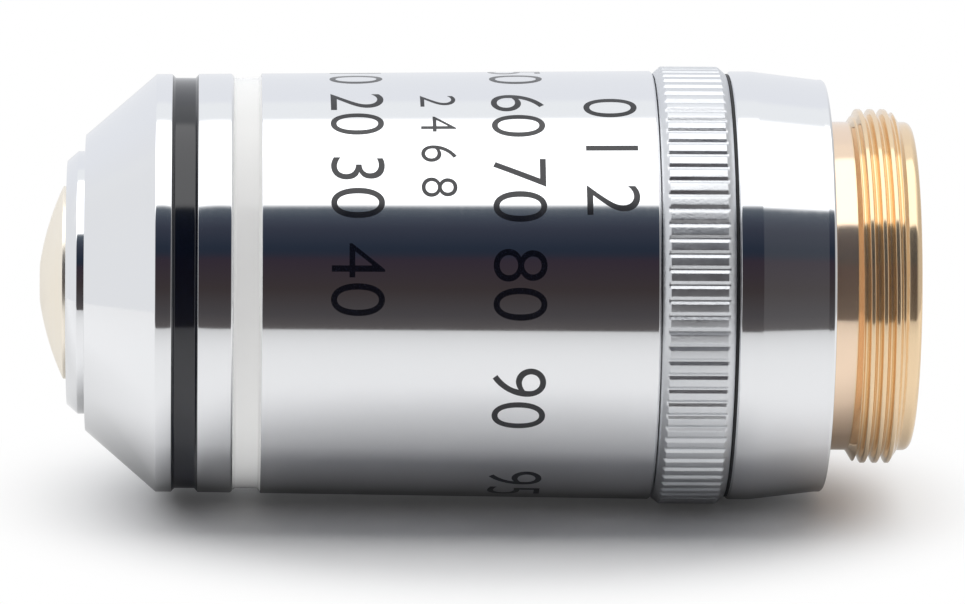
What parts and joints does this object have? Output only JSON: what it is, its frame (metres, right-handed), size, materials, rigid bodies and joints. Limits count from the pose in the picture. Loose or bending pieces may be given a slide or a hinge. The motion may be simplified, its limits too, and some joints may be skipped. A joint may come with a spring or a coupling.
{
  "type": "microscope objective",
  "caption": "Chromed oil-immersion microscope objective with a knurled iris collar, enamel code bands, a sprung nose and a brass mount thread.",
  "frame": {"origin": "centre of the thread end, on the surface that the objective stands on", "axes": "+Z along the optical axis, from the thread end to the nose; the scale marks face -Y"},
  "size_m": [0.025, 0.025, 0.0497],
  "materials": {
    "chrome_plate": "polished",
    "gilt_brass": "satin",
    "blackened_brass": "matte",
    "blued_steel": "matte",
    "spring_steel": "satin",
    "white_enamel": "gloss",
    "black_enamel": "gloss",
    "black_fibre": "matte",
    "lens_glass": "polished"
  },
  "bodies": {
    "body": {"thread_mount": "gilt_brass", "rear_body": "chrome_plate", "collar_washer": "black_fibre", "barrel": "chrome_plate", "white_band": "white_enamel", "black_band": "black_enamel", "nose_cone": "chrome_plate", "stop_ring": "blackened_brass", "guide_pin": "spring_steel", "nose_spring": "spring_steel"},
    "collar": {"iris_collar": "chrome_plate", "drive_pin": "spring_steel"},
    "carriage": {"lens_tube": "blackened_brass", "nose_cap": "chrome_plate", "front_cell": "gilt_brass", "front_lens": "lens_glass", "iris_base": "blackened_brass", "iris_keeper": "blackened_brass", "stack_spacer": "blackened_brass", "stack_retainer": "blackened_brass", "rear_cell": "blackened_brass", "rear_flint": "lens_glass", "rear_crown": "lens_glass", "triplet_cell": "blackened_brass", "triplet_rear_crown": "lens_glass", "triplet_flint": "lens_glass", "triplet_front_crown": "lens_glass", "doublet_cell": "blackened_brass", "doublet_flint": "lens_glass", "doublet_crown": "lens_glass", "meniscus_cell": "blackened_brass", "meniscus_lens": "lens_glass"},
    "cam": {"iris_cam_ring": "blackened_brass"},
    "leaf_1": {"iris_leaf_1": "blued_steel"},
    "leaf_2": {"iris_leaf_2": "blued_steel"},
    "leaf_3": {"iris_leaf_3": "blued_steel"},
    "leaf_4": {"iris_leaf_4": "blued_steel"},
    "leaf_5": {"iris_leaf_5": "blued_steel"},
    "leaf_6": {"iris_leaf_6": "blued_steel"}
  },
  "joints": [
    {"name": "collar_turn", "type": "hinge", "parent": "body", "child": "collar", "pos_m": [0, 0, 0], "axis": [0, 0, 1], "range_deg": [0, 50]},
    {"name": "nose_retract", "type": "slide", "parent": "body", "child": "carriage", "axis": [0, 0, 1], "range_m": [-0.002, 0], "stiffness_N_per_m": 1200, "springref_m": 0.0025, "deforming": ["nose_spring"]},
    {"name": "cam_turn", "type": "hinge", "parent": "carriage", "child": "cam", "pos_m": [0, 0, 0], "axis": [0, 0, 1], "range_deg": [0, 50.5]},
    {"name": "leaf_1_turn", "type": "hinge", "parent": "carriage", "child": "leaf_1", "pos_m": [0.005, 0, 0], "axis": [0, 0, 1], "range_deg": [0, 22]},
    {"name": "leaf_2_turn", "type": "hinge", "parent": "carriage", "child": "leaf_2", "pos_m": [0.0025, 0.00433, 0], "axis": [0, 0, 1], "range_deg": [0, 22]},
    {"name": "leaf_3_turn", "type": "hinge", "parent": "carriage", "child": "leaf_3", "pos_m": [-0.0025, 0.00433, 0], "axis": [0, 0, 1], "range_deg": [0, 22]},
    {"name": "leaf_4_turn", "type": "hinge", "parent": "carriage", "child": "leaf_4", "pos_m": [-0.005, 0, 0], "axis": [0, 0, 1], "range_deg": [0, 22]},
    {"name": "leaf_5_turn", "type": "hinge", "parent": "carriage", "child": "leaf_5", "pos_m": [-0.0025, -0.00433, 0], "axis": [0, 0, 1], "range_deg": [0, 22]},
    {"name": "leaf_6_turn", "type": "hinge", "parent": "carriage", "child": "leaf_6", "pos_m": [0.0025, -0.00433, 0], "axis": [0, 0, 1], "range_deg": [0, 22]}
  ],
  "couplings": [
    {"joint": "cam_turn", "follows": "collar_turn", "ratio": 1},
    {"joint": "leaf_1_turn", "follows": "collar_turn", "ratio": 0.43344},
    {"joint": "leaf_2_turn", "follows": "collar_turn", "ratio": 0.43344},
    {"joint": "leaf_3_turn", "follows": "collar_turn", "ratio": 0.43344},
    {"joint": "leaf_4_turn", "follows": "collar_turn", "ratio": 0.43344},
    {"joint": "leaf_5_turn", "follows": "collar_turn", "ratio": 0.43344},
    {"joint": "leaf_6_turn", "follows": "collar_turn", "ratio": 0.43344}
  ]
}
